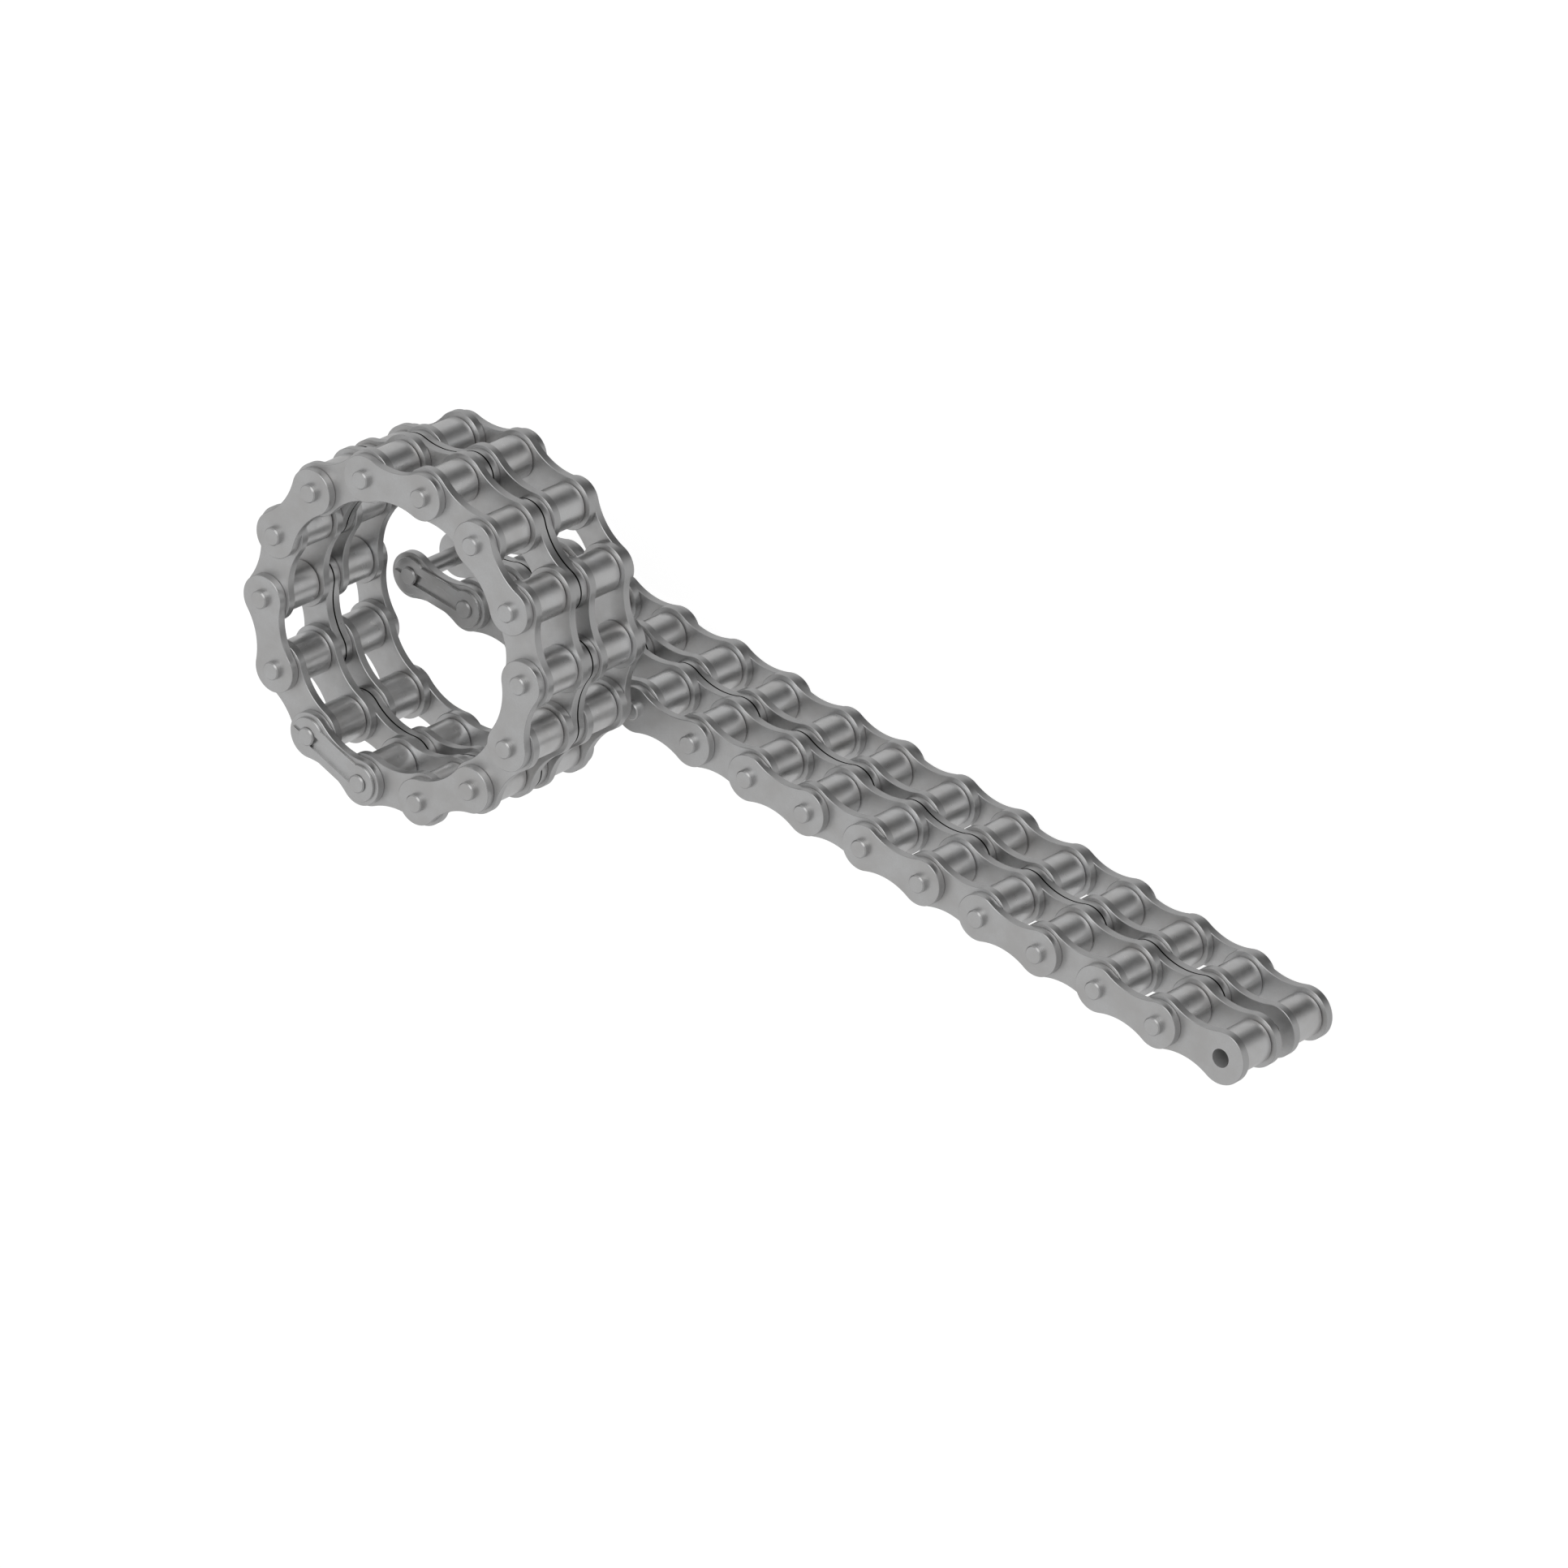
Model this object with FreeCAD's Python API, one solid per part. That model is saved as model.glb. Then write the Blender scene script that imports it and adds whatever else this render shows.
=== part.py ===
"""Duplex roller chain of 15.875 mm pitch: a straight length of 14 links and a closed ring of 14 links.

The chain lies on its side, so every pin is vertical. The origin is on the axis of the open bush at
the free end of the straight length, at the lower face of the lowest inner plate. +X runs along the
straight length, and +Z points along the pins, towards the face that carries the spring clips. The
ring lies above the straight length. Each node is one link, one pair of rollers, one cover plate or
one clip, and every plate, bush, roller, pin and clip is a separate solid.
"""
import FreeCAD
import Part
import math
import os

# Driving dimensions, in mm
PITCH = 15.875
LINKS = 14                   # links in each length: 7 inner, 6 outer and 1 connecting link
PLATE = 2.0                  # thickness of every plate
INNER_WIDTH = 9.5            # between the two inner plates of a strand
INNER_HEAD_R = 5.92
INNER_WAIST = 4.33           # half height in the middle of the plate
OUTER_HEAD_R = 5.2
OUTER_WAIST = 3.55
SIDE_GAP = 0.05              # between an inner plate and the outer or middle plate beside it
MIDDLE_SEAM = 0.33           # between the two plates of an outer link that part the strands
ROLLER_R = 4.83
ROLLER_PLAY = 0.12           # end play of a roller, on each side
BUSH_R = 3.1
PIN_R = 2.05
RUNNING_GAP = 0.05           # radial clearance of pin in bush and of bush in roller
PIN_STAND_OUT = 1.25         # pin end beyond the outer plate
EDGE = 0.1                   # chamfer on the rim of a plate
PIN_EDGE = 0.25
ROLLER_EDGE = 0.25
CLIP_THICKNESS = 0.65
CLIP_HEAD_R = 4.2
CLIP_HALF_WIDTH = 3.3        # half width of the straight middle of the clip
CLIP_SLOT_HALF = 1.45        # half width of the slot between the two legs of the clip
CLIP_SPLIT_HALF = 0.4        # half width of the split in the open end of the clip
CLIP_EDGE = 0.1
GROOVE_R = 1.55              # pin radius at the bottom of the clip groove
GROOVE_HEIGHT = 0.75
RING_CLEARANCE = 0.33        # between the top of the straight length and the bottom of the ring
RING_CENTRE_X = 197.4
RING_CENTRE_Y = -9.5
RING_START_DEG = 64.2        # direction of the ring's first pin, seen from its centre

# Sizes that follow from them, with Z measured from the middle plane of the length
STRAND_WIDTH = INNER_WIDTH + 2 * PLATE
STRAND_PITCH = STRAND_WIDTH + 2 * (SIDE_GAP + PLATE) + MIDDLE_SEAM
INNER_TOP = (STRAND_PITCH + STRAND_WIDTH) / 2
OUTER_TOP = INNER_TOP + SIDE_GAP + PLATE
PIN_TOP = OUTER_TOP + PIN_STAND_OUT
STRAND_BASES = (-INNER_TOP, -INNER_TOP + STRAND_PITCH)
TURN_DEG = 360.0 / LINKS
RING_RADIUS = PITCH / (2 * math.sin(math.pi / LINKS))
RING_Z = 2 * PIN_TOP + RING_CLEARANCE

UP = FreeCAD.Vector(0, 0, 1)
SAME_HEIGHT = 1e-6


def point(x, y, z=0.0):
    return FreeCAD.Vector(x, y, z)


def waisted_outline(head_r, waist):
    """Outline of a link plate: round heads about both pins, joined by tangent concave flanks."""
    step = head_r - waist
    flank_y = ((PITCH / 2) ** 2 - step ** 2) / (2 * step)
    flank_r = flank_y - waist
    touch_x = head_r * (PITCH / 2) / (head_r + flank_r)
    touch_y = head_r * flank_y / (head_r + flank_r)
    near_low = point(touch_x, -touch_y)
    near_high = point(touch_x, touch_y)
    far_low = point(PITCH - touch_x, -touch_y)
    far_high = point(PITCH - touch_x, touch_y)
    arcs = (
        Part.Arc(near_high, point(-head_r, 0), near_low),
        Part.Arc(near_low, point(PITCH / 2, -waist), far_low),
        Part.Arc(far_low, point(PITCH + head_r, 0), far_high),
        Part.Arc(far_high, point(PITCH / 2, waist), near_high),
    )
    return Part.Wire([arc.toShape() for arc in arcs])


def edges_at(shape, *levels):
    """The edges of a shape that lie level, at one of the given heights."""
    return [
        edge for edge in shape.Edges
        if edge.BoundBox.ZLength < SAME_HEIGHT
        and min(abs(edge.BoundBox.ZMin - level) for level in levels) < SAME_HEIGHT
    ]


def rod(radius, base_z, height, edge, x=0.0):
    """An upright round bar with chamfered ends."""
    bar = Part.makeCylinder(radius, height, point(x, 0, base_z))
    return bar.makeChamfer(edge, edges_at(bar, base_z, base_z + height)) if edge else bar


def link_plate(head_r, waist, hole_r, base_z, rims=(0.0, PLATE)):
    """A flat link plate with a hole about each pin axis, its rim chamfered at the given heights."""
    plate = Part.Face(waisted_outline(head_r, waist)).extrude(UP * PLATE)
    plate = plate.makeChamfer(EDGE, edges_at(plate, *rims))
    for hole_x in (0.0, PITCH):
        plate = plate.cut(rod(hole_r, 0.0, PLATE, 0, hole_x))
    plate.translate(UP * base_z)
    return plate


def bush(x, base_z):
    """A bush pressed into the two inner plates of one strand, flush with their outer faces."""
    return rod(BUSH_R, base_z, STRAND_WIDTH, 0, x).cut(
        rod(PIN_R + RUNNING_GAP, base_z, STRAND_WIDTH, 0, x))


def roller(base_z):
    """A roller that turns on a bush, between the inner plates of one strand."""
    length = INNER_WIDTH - 2 * ROLLER_PLAY
    low = base_z + PLATE + ROLLER_PLAY
    return rod(ROLLER_R, low, length, ROLLER_EDGE).cut(rod(BUSH_R + RUNNING_GAP, low, length, 0))


def outer_plate(base_z):
    return link_plate(OUTER_HEAD_R, OUTER_WAIST, PIN_R, base_z)


def middle_plates():
    """The two plates of an outer link between the strands, square-edged along their seam."""
    return [
        link_plate(OUTER_HEAD_R, OUTER_WAIST, PIN_R, base_z, rims=[rim])
        for base_z, rim in ((-MIDDLE_SEAM / 2 - PLATE, 0.0), (MIDDLE_SEAM / 2, PLATE))
    ]


def pin(x):
    """A pin through both strands, which stands out of the outer plates at both ends."""
    return rod(PIN_R, -PIN_TOP, 2 * PIN_TOP, PIN_EDGE, x)


def grooved_pin(x):
    """A pin with the groove that the spring clip sits in, just above the cover plate."""
    groove = rod(PIN_R + 1, OUTER_TOP, GROOVE_HEIGHT, 0, x).cut(
        rod(GROOVE_R, OUTER_TOP, GROOVE_HEIGHT, 0, x))
    return pin(x).cut(groove)


def inner_link():
    """Four inner plates and the four bushes that hold them together, two of each per strand."""
    solids = []
    for base_z in STRAND_BASES:
        for plate_z in (base_z, base_z + STRAND_WIDTH - PLATE):
            solids.append(link_plate(INNER_HEAD_R, INNER_WAIST, BUSH_R, plate_z))
        for bush_x in (0.0, PITCH):
            solids.append(bush(bush_x, base_z))
    return solids


def roller_pair():
    """The two rollers that turn on one pin's axis, one per strand."""
    return [roller(base_z) for base_z in STRAND_BASES]


def outer_link():
    """Two outer plates and two middle plates on two pins."""
    plates = [outer_plate(-OUTER_TOP), outer_plate(OUTER_TOP - PLATE)] + middle_plates()
    return plates + [pin(0.0), pin(PITCH)]


def connecting_link():
    """The fixed half of the connecting link: its back plate, middle plates and grooved pins."""
    return [outer_plate(-OUTER_TOP)] + middle_plates() + [grooved_pin(0.0), grooved_pin(PITCH)]


def cover_plate():
    """The loose outer plate of the connecting link."""
    return [outer_plate(OUTER_TOP - PLATE)]


def spring_clip():
    """The clip that holds the cover plate: two legs, closed about pin 0 and split beyond pin 1."""
    low = OUTER_TOP
    solid = Part.makeBox(PITCH, 2 * CLIP_HALF_WIDTH, CLIP_THICKNESS, point(0, -CLIP_HALF_WIDTH, low))
    for head_x in (0.0, PITCH):
        solid = solid.fuse(rod(CLIP_HEAD_R, low, CLIP_THICKNESS, 0, head_x))
    solid = solid.removeSplitter()
    solid = solid.makeChamfer(CLIP_EDGE, edges_at(solid, low, low + CLIP_THICKNESS))
    for head_x in (0.0, PITCH):
        solid = solid.cut(rod(GROOVE_R + RUNNING_GAP, low, CLIP_THICKNESS, 0, head_x))
    slot = Part.makeBox(PITCH, 2 * CLIP_SLOT_HALF, CLIP_THICKNESS, point(0, -CLIP_SLOT_HALF, low))
    split = Part.makeBox(
        2 * CLIP_HEAD_R, 2 * CLIP_SPLIT_HALF, CLIP_THICKNESS, point(PITCH, -CLIP_SPLIT_HALF, low))
    return [solid.cut(slot).cut(split)]


def straight_pins():
    """Pin axes of the straight length, from its open bush to its last, free pin."""
    return [(PITCH * index, 0.0) for index in range(LINKS + 1)]


def ring_pins():
    """Pin axes of the ring, once round from the connecting link's joint and back to it."""
    angles = [math.radians(RING_START_DEG - TURN_DEG * index) for index in range(LINKS + 1)]
    return [
        (RING_CENTRE_X + RING_RADIUS * math.cos(a), RING_CENTRE_Y + RING_RADIUS * math.sin(a))
        for a in angles
    ]


def save(name, solids, start, towards, base_z):
    """Place solids made along +X from a pin at the origin, and write them as one node."""
    heading = math.degrees(math.atan2(towards[1] - start[1], towards[0] - start[0]))
    placement = FreeCAD.Placement(
        point(start[0], start[1], base_z), FreeCAD.Rotation(UP, heading))
    group = Part.makeCompound([solid.transformed(placement.toMatrix()) for solid in solids])
    group.exportStep("parts/" + name + ".step")
    print(name, len(group.Solids), "solids", round(group.Volume), "mm3")


def save_length(prefix, pins, base_z):
    """Write the links and rollers of one length: inner and outer links in turn, then the joint."""
    for index in range(LINKS):
        start, towards = pins[index], pins[index + 1]
        save(f"{prefix}_rollers_{index + 1:02d}", roller_pair(), start, towards, base_z)
        if index == LINKS - 1:
            save(prefix + "_connecting_link", connecting_link(), start, towards, base_z)
            save(prefix + "_cover_plate", cover_plate(), start, towards, base_z)
            save(prefix + "_spring_clip", spring_clip(), start, towards, base_z)
        elif index % 2:
            save(f"{prefix}_outer_link_{index // 2 + 1}", outer_link(), start, towards, base_z)
        else:
            save(f"{prefix}_inner_link_{index // 2 + 1}", inner_link(), start, towards, base_z)


os.makedirs("parts", exist_ok=True)
save_length("straight", straight_pins(), INNER_TOP)
save_length("ring", ring_pins(), INNER_TOP + RING_Z)
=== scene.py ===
"""Looks, light and camera for a duplex roller chain: an open length that passes behind a closed ring."""
import math

import bpy
from mathutils import Matrix, Vector


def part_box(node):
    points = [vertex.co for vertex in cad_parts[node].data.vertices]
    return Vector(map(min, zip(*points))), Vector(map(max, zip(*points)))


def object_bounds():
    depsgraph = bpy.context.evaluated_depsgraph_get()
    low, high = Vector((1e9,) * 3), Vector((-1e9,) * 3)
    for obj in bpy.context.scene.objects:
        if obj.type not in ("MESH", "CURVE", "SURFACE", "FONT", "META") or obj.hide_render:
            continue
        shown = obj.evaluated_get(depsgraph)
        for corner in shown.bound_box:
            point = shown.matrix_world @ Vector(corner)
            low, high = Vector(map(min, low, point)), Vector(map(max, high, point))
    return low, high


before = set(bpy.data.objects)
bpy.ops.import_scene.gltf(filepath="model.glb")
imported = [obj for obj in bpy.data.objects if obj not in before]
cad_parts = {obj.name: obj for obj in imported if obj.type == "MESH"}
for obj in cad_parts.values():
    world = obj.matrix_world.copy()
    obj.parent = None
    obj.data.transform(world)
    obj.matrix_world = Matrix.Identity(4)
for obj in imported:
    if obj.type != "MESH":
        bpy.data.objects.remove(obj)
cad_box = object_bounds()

MM = 0.001

# The chain lies with its pins upright. The camera looks down on the side of the spring clips, from the
# front left, and is rolled past a right angle, so that its view shows the pins lying down.
CAMERA_AIM = Vector((116.83, -4.58, 34.71)) * MM
CAMERA_AZIMUTH = math.radians(-132.06)
CAMERA_ELEVATION = math.radians(46.65)
CAMERA_ROLL = math.radians(115.59)
CAMERA_DISTANCE = 2312.2 * MM
CAMERA_LENS = 252.2
CAMERA_SENSOR = 36.0
CAMERA_NEAR = 0.05
CAMERA_FAR = 50.0

FLOOR_GAP = 0.2 * MM
FLOOR_SIZE = 12.0
FLOOR_TONE = 0.25
FLOOR_GLOW = 0.90
FLOOR_ROUGHNESS = 0.9

# The sky is one even white. Below the horizon, where only the steel's reflections reach, a dark
# flag stands on one side, and gives round surfaces a dark band between two bright ones. The light
# from below fades into the sky over HORIZON_DEPTH, which is a share of straight down.
SKY_LIGHT = 0.53
BELOW_LIGHT = 0.61
HORIZON_DEPTH = 0.25
FLAG_LIGHT = 0.13
FLAG_AZIMUTH = math.radians(-101)
FLAG_HALF_WIDTH = math.radians(46)

# The key light is one large square panel, high on the front side, in metres and watts.
KEY_AZIMUTH = math.radians(-100)
KEY_ELEVATION = math.radians(50)
KEY_DISTANCE = 2.0
KEY_SIZE = 1.4
KEY_POWER = 6.4

# Each slot's steel: its tone from 0 to 1, its roughness, and what is special to its pieces.
STEELS = {
    "inner_link_steel": {
        "name": "inner_link_steel_worn_and_shaded", "tone": 0.70, "roughness": 0.40, "has_open_bore": True},
    "outer_link_steel": {
        "name": "outer_link_steel_worn_and_shaded", "tone": 0.70, "roughness": 0.38, "has_seam_shade": True},
    "roller_steel": {
        "name": "roller_steel_turned_and_shaded", "tone": 0.66, "roughness": 0.32, "turned": True},
    "clip_steel": {
        "name": "clip_steel_worn_and_shaded", "tone": 0.69, "roughness": 0.34},
}

# Where most of a noise's values lie, and their middle.
NOISE_SPAN = (0.3, 0.7)
NOISE_MIDDLE = 0.5

# A slow change of tone over the steel, and a fine grain. Tones are shares of the steel's own tone.
MOTTLE_SIZE = 7.0 * MM
MOTTLE_SPAN = (0.35, 0.65)
MOTTLE_DARK = 0.93
MOTTLE_DARK_WARM = 0.01
MOTTLE_LIGHT = 1.06
MOTTLE_LIGHT_WARM = -0.004
GRAIN_SIZE = 0.35 * MM
GRAIN_DARK = 0.9
GRAIN_MIX = 0.35

# Smears of oil, which make the steel smoother in some places and rougher in others.
SMEAR_SIZE = 2.6 * MM
SMEAR_SMOOTHER = 0.06
SMEAR_ROUGHER = 0.07

# Turned work has fine lines round the pins' axis, and a blanked rim has them along it. They stand out
# as bumps, and so does a share of the grain.
TURNING_SIZE = 0.16 * MM
TURNING_STRETCH = (60, 60, 1)
BLANKING_SIZE = 0.22 * MM
BLANKING_STRETCH = (1, 1, 9)
BUMP_DEPTH = 0.03 * MM
BUMP_STRENGTH = 0.28
GRAIN_BUMP = 0.35

# What wear, making, old oil and painted crevice shade do to the steel: the tone they mix in, as a share
# of its own, the warmth of that tone, how much of it is mixed in, and how far the roughness drops.
RUBBED = {"tone": 1.2, "warm": 0.0, "mix": 0.1, "smoother": 0.08}
# Old oil and painted shade together: the deepest crevice goes to a dark, warm grey.
CREVICE_OIL_AND_SHADE = {"tone": 0.3, "warm": 0.03, "mix": 0.5, "smoother": 0.06}
BLANKED = {"tone": 0.68, "warm": 0.0, "mix": 0.9, "smoother": 0.06}

# Where they show. An edge is where the normal of a rounded copy of the surface agrees less with the
# flat one's, a crevice, which gets painted shade, is where few directions are open, and a side's normal is
# off the pins' axis.
RUBBED_WIDTH = 0.1 * MM
RUBBED_SPAN = (0.995, 0.90)
RUBBED_SAMPLES = 6
CREVICE_REACH = 1.2 * MM
CREVICE_SPAN = (0.3, 0.05)
CREVICE_SAMPLES = 8
SIDE_SPAN = (0.95, 0.75)

# The two middle plates of an outer link lie back to back. Painted shade makes the narrow seam between
# them nearly black, and fades out on its lips. Heights are from the middle of the seam, which one link of
# each length gives.
SEAM_LINKS = ("straight_outer_link_1", "ring_outer_link_1")
SEAM_HALF = 0.165 * MM
SEAM_SHADE_FULL = SEAM_HALF * 1.2
SEAM_SHADE_GONE = SEAM_HALF * 1.5
SEAM_SHADE_TONE = 0.04
SEAM_SHADE_WARM = 0.03

# The two open bushes at the end of the straight length, one per strand, have the frame's Z axis as
# theirs. Dried oil dulls their bores, where no pin has rubbed it off.
BORE_R = 2.1 * MM
BORE_DULL = BORE_R * 1.02
BORE_CLEAN = BORE_R * 1.04
BORE_METAL = 0.3


# Node helpers

def add(tree, kind, inputs=None, **settings):
    """A new node, with its settings, and with each input set to a value or linked to a socket."""
    node = tree.nodes.new(kind)
    for key, value in settings.items():
        setattr(node, key, value)
    for key, value in (inputs or {}).items():
        if isinstance(value, bpy.types.NodeSocket):
            tree.links.new(value, node.inputs[key])
        else:
            node.inputs[key].default_value = value
    return node


def maths(tree, operation, first, second=0.0, clamp=False):
    """One arithmetic step on sockets or numbers."""
    return add(tree, "ShaderNodeMath", {0: first, 1: second}, operation=operation, use_clamp=clamp).outputs[0]


def spread(tree, value, low, high, to_low=0.0, to_high=1.0):
    """Maps a range of a value to another, and holds it at the ends."""
    inputs = {"Value": value, "From Min": low, "From Max": high, "To Min": to_low, "To Max": to_high}
    return add(tree, "ShaderNodeMapRange", inputs, clamp=True).outputs["Result"]


def height_of(tree, vector):
    """A vector's Z."""
    return add(tree, "ShaderNodeSeparateXYZ", {0: vector}).outputs["Z"]


def levelled(tree, vector):
    """A vector with its Z set to 0."""
    return add(tree, "ShaderNodeVectorMath", {0: vector, 1: (1, 1, 0)}, operation="MULTIPLY").outputs[0]


def agreement(tree, first, second):
    """How far two unit vectors point the same way: 1 fully, 0 at a right angle, -1 the opposite way."""
    return add(tree, "ShaderNodeVectorMath", {0: first, 1: second}, operation="DOT_PRODUCT").outputs["Value"]


def noise(tree, place, size, stretch=(1, 1, 1), detail=2.0, roughness=0.55):
    """A noise with features of about the given size, made longer along each axis by stretch."""
    scale = [1.0 / s for s in stretch]
    moved = add(tree, "ShaderNodeMapping", {"Vector": place, "Scale": scale}).outputs["Vector"]
    inputs = {"Vector": moved, "Scale": 1.0 / size, "Detail": detail, "Roughness": roughness}
    return add(tree, "ShaderNodeTexNoise", inputs).outputs["Fac"]


def mixed(tree, factor, first, second):
    """A mix of two colours."""
    return add(tree, "ShaderNodeMix", {0: factor, 6: first, 7: second}, data_type="RGBA").outputs[2]


def grey(value, warm=0.0):
    """A grey, a little redder where warm is above 0 and a little bluer where it is below."""
    return (value * (1 + warm), value, value * (1 - warm), 1.0)


# Masks: 1 where something is, 0 elsewhere

def off_axis(tree, geometry):
    """Rims and round sides, with their chamfers. Flat faces point along the pins' axis."""
    upright = maths(tree, "ABSOLUTE", height_of(tree, geometry.outputs["True Normal"]))
    return spread(tree, upright, *SIDE_SPAN)


def rubbed_edges(tree, geometry):
    """The edges of the surface, which get rubbed."""
    rounded = add(tree, "ShaderNodeBevel", {"Radius": RUBBED_WIDTH}, samples=RUBBED_SAMPLES).outputs["Normal"]
    return spread(tree, agreement(tree, rounded, geometry.outputs["Normal"]), *RUBBED_SPAN)


def shaded_crevices(tree):
    """The depths where steel close by shuts off most directions, darkened by old oil and painted shade."""
    inputs = {"Distance": CREVICE_REACH}
    openness = add(tree, "ShaderNodeAmbientOcclusion", inputs, samples=CREVICE_SAMPLES).outputs["AO"]
    return spread(tree, openness, *CREVICE_SPAN)


def seam_shade(tree, place):
    """The seam between two middle plates, with its lips, where painted shade goes."""
    height = height_of(tree, place)
    found = 0.0
    for link in SEAM_LINKS:
        low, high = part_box(link)
        away = maths(tree, "ABSOLUTE", maths(tree, "SUBTRACT", height, (low[2] + high[2]) / 2))
        found = maths(tree, "ADD", found, spread(tree, away, SEAM_SHADE_GONE, SEAM_SHADE_FULL), clamp=True)
    return found


def open_bore(tree, place):
    """The walls of the open bushes' bores."""
    flat = levelled(tree, place)
    radius = add(tree, "ShaderNodeVectorMath", {0: flat}, operation="LENGTH").outputs["Value"]
    return spread(tree, radius, BORE_CLEAN, BORE_DULL)


# Materials

def worn(tree, tint, rough, mask, tone, wear):
    """Tint and roughness after one kind of wear or work, which shows where its mask is 1."""
    amount = maths(tree, "MULTIPLY", mask, wear["mix"])
    tint = mixed(tree, amount, tint, grey(tone * wear["tone"], wear["warm"]))
    rough = maths(tree, "SUBTRACT", rough, maths(tree, "MULTIPLY", mask, wear["smoother"]))
    return tint, rough


def steel(name, tone, roughness, turned=False, has_seam_shade=False, has_open_bore=False):
    """Bare steel: mottled tone, old oil and painted shade deep in each crevice, rubbed edges, the marks of
    how it was made, and painted shade in a seam where asked.
    """
    material = bpy.data.materials.new(name)
    material.use_nodes = True
    tree = material.node_tree
    tree.nodes.clear()
    place = add(tree, "ShaderNodeTexCoord").outputs["Object"]
    geometry = add(tree, "ShaderNodeNewGeometry")
    side = off_axis(tree, geometry)

    mottle = noise(tree, place, MOTTLE_SIZE, detail=4.0)
    grain = noise(tree, place, GRAIN_SIZE)
    smear = noise(tree, place, SMEAR_SIZE, detail=5.0, roughness=0.6)
    dark = grey(tone * MOTTLE_DARK, MOTTLE_DARK_WARM)
    light = grey(tone * MOTTLE_LIGHT, MOTTLE_LIGHT_WARM)
    tint = mixed(tree, spread(tree, mottle, *MOTTLE_SPAN), dark, light)
    tint = mixed(tree, spread(tree, grain, *NOISE_SPAN, 0.0, GRAIN_MIX), tint, grey(tone * GRAIN_DARK))
    rough = spread(tree, smear, *NOISE_SPAN, roughness - SMEAR_SMOOTHER, roughness + SMEAR_ROUGHER)

    tint, rough = worn(tree, tint, rough, rubbed_edges(tree, geometry), tone, RUBBED)
    # Old oil and painted shade darken the deepest crevice.
    tint, rough = worn(tree, tint, rough, shaded_crevices(tree), tone, CREVICE_OIL_AND_SHADE)
    if turned:
        marks = noise(tree, place, TURNING_SIZE, TURNING_STRETCH)
    else:
        marks = noise(tree, place, BLANKING_SIZE, BLANKING_STRETCH)
        tint, rough = worn(tree, tint, rough, side, tone, BLANKED)
    if has_seam_shade:
        # Painted shade turns the seam between the middle plates nearly black.
        tint = mixed(tree, seam_shade(tree, place), tint, grey(tone * SEAM_SHADE_TONE, SEAM_SHADE_WARM))

    marks = maths(tree, "MULTIPLY", maths(tree, "SUBTRACT", marks, NOISE_MIDDLE), side)
    height = maths(tree, "ADD", marks, maths(tree, "MULTIPLY", grain, GRAIN_BUMP))
    inputs = {"Strength": BUMP_STRENGTH, "Distance": BUMP_DEPTH, "Height": height}
    bumped = add(tree, "ShaderNodeBump", inputs).outputs["Normal"]

    metal = spread(tree, open_bore(tree, place), 0.0, 1.0, 1.0, BORE_METAL) if has_open_bore else 1.0
    surface = add(tree, "ShaderNodeBsdfPrincipled", {
        "Base Color": tint, "Metallic": metal, "Roughness": rough, "Normal": bumped})
    out = add(tree, "ShaderNodeOutputMaterial")
    tree.links.new(surface.outputs["BSDF"], out.inputs["Surface"])
    return material


def pale_floor():
    """The floor's own plain finish, with a faint glow that keeps it white."""
    material = bpy.data.materials.new("pale_floor")
    material.use_nodes = True
    surface = material.node_tree.nodes["Principled BSDF"]
    surface.inputs["Base Color"].default_value = grey(FLOOR_TONE)
    surface.inputs["Roughness"].default_value = FLOOR_ROUGHNESS
    surface.inputs["Emission Color"].default_value = grey(1.0)
    surface.inputs["Emission Strength"].default_value = FLOOR_GLOW
    return material


def dress_chain():
    """Gives every CAD node the steel of its slot."""
    steels = {slot: steel(**recipe) for slot, recipe in STEELS.items()}
    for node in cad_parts.values():
        for holder in node.material_slots:
            holder.material = steels[holder.material.name.split(".")[0]]


# Stage, light and camera

def lay_floor():
    """One square just under the chain, which the steel doesn't reflect."""
    mesh = bpy.data.meshes.new("floor")
    half = FLOOR_SIZE / 2
    level = cad_box[0][2] - FLOOR_GAP
    centre_x = (cad_box[0][0] + cad_box[1][0]) / 2
    corners = [(centre_x + x * half, y * half, level) for x, y in ((-1, -1), (1, -1), (1, 1), (-1, 1))]
    mesh.from_pydata(corners, [], [(0, 1, 2, 3)])
    floor = bpy.data.objects.new("floor", mesh)
    mesh.materials.append(pale_floor())
    bpy.context.collection.objects.link(floor)
    floor.visible_glossy = False


def direction(azimuth, elevation):
    """The unit vector that points the given way, with azimuth turning from +X towards +Y."""
    flat = math.cos(elevation)
    return Vector((flat * math.cos(azimuth), flat * math.sin(azimuth), math.sin(elevation)))


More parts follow.
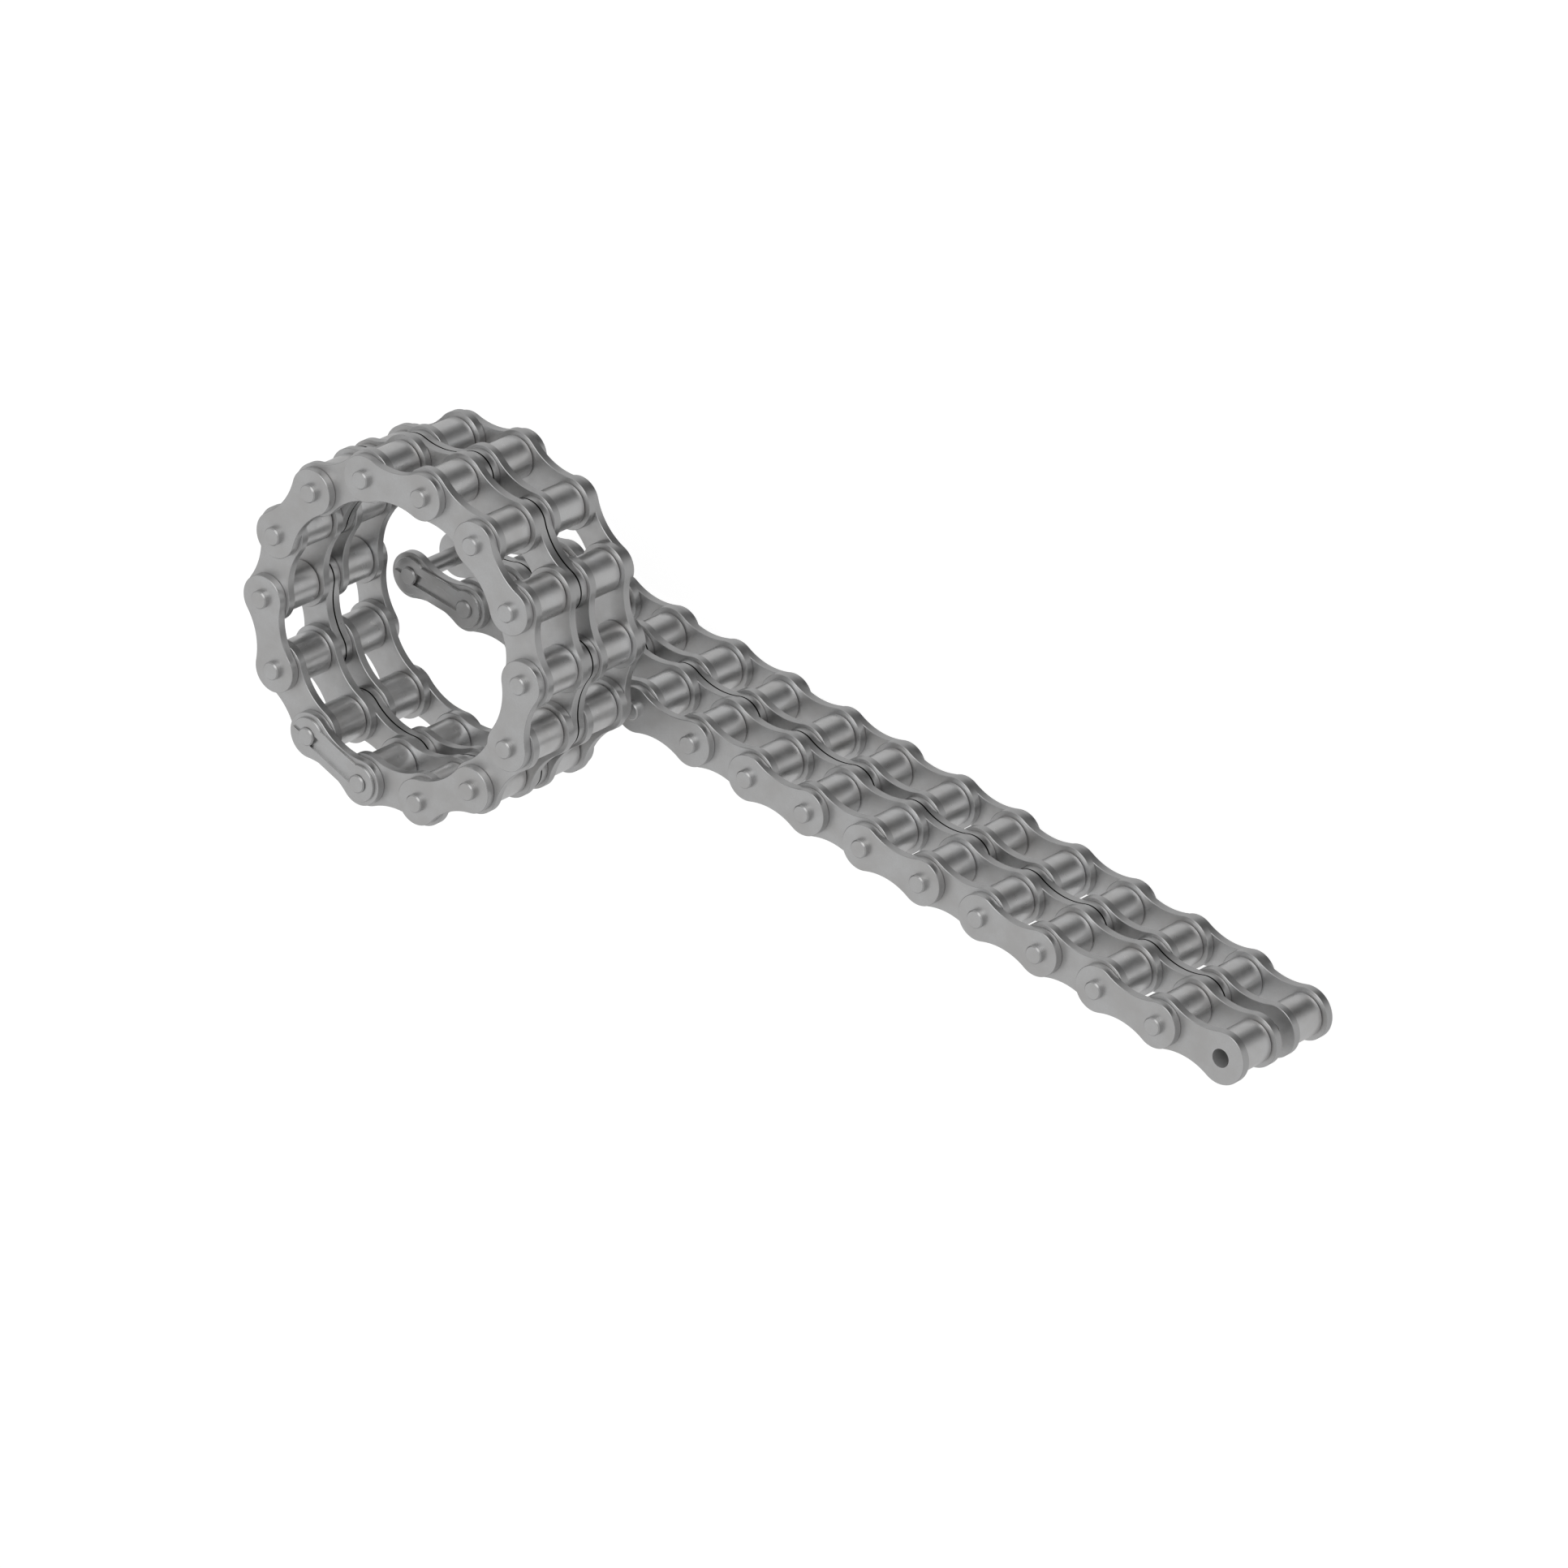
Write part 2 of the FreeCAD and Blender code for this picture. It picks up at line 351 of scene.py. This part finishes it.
def light_sky():
    """The world's even sky, and the darker flag below its horizon."""
    world = bpy.data.worlds.new("studio")
    bpy.context.scene.world = world
    world.use_nodes = True
    tree = world.node_tree
    towards = add(tree, "ShaderNodeTexCoord").outputs["Generated"]
    flat = add(tree, "ShaderNodeVectorMath", {0: levelled(tree, towards)}, operation="NORMALIZE").outputs[0]
    nearness = agreement(tree, flat, direction(FLAG_AZIMUTH, 0))
    below = spread(tree, nearness, math.cos(FLAG_HALF_WIDTH), 1.0, BELOW_LIGHT, FLAG_LIGHT)
    rise = spread(tree, height_of(tree, towards), -HORIZON_DEPTH, 0.0)
    strength = add(tree, "ShaderNodeMix", {0: rise, 2: below, 3: SKY_LIGHT}, data_type="FLOAT").outputs[0]
    background = tree.nodes["Background"]
    background.inputs["Color"].default_value = grey(1.0)
    tree.links.new(strength, background.inputs["Strength"])


def hang_key_light():
    """A large square light that faces the chain."""
    data = bpy.data.lights.new("key", "AREA")
    data.size = KEY_SIZE
    data.energy = KEY_POWER
    light = bpy.data.objects.new("key", data)
    towards = direction(KEY_AZIMUTH, KEY_ELEVATION)
    light.location = CAMERA_AIM + towards * KEY_DISTANCE
    light.rotation_euler = towards.to_track_quat("Z", "Y").to_euler()
    bpy.context.collection.objects.link(light)


def place_camera():
    """A camera that looks at the aim from its azimuth and elevation, turned by its roll."""
    towards = direction(CAMERA_AZIMUTH, CAMERA_ELEVATION)
    level_up = (Vector((0, 0, 1)) - towards * towards.z).normalized()
    level_right = level_up.cross(towards)
    up = level_up * math.cos(CAMERA_ROLL) + level_right * math.sin(CAMERA_ROLL)
    right = up.cross(towards)
    data = bpy.data.cameras.new("camera")
    data.sensor_width = CAMERA_SENSOR
    data.lens = CAMERA_LENS
    data.clip_start = CAMERA_NEAR
    data.clip_end = CAMERA_FAR
    camera = bpy.data.objects.new("camera", data)
    place = Matrix((right, up, towards)).transposed().to_4x4()
    place.translation = CAMERA_AIM + towards * CAMERA_DISTANCE
    camera.matrix_world = place
    bpy.context.collection.objects.link(camera)
    bpy.context.scene.camera = camera


place_camera()
lay_floor()
light_sky()
hang_key_light()
dress_chain()
bpy.context.scene.view_settings.view_transform = "Standard"
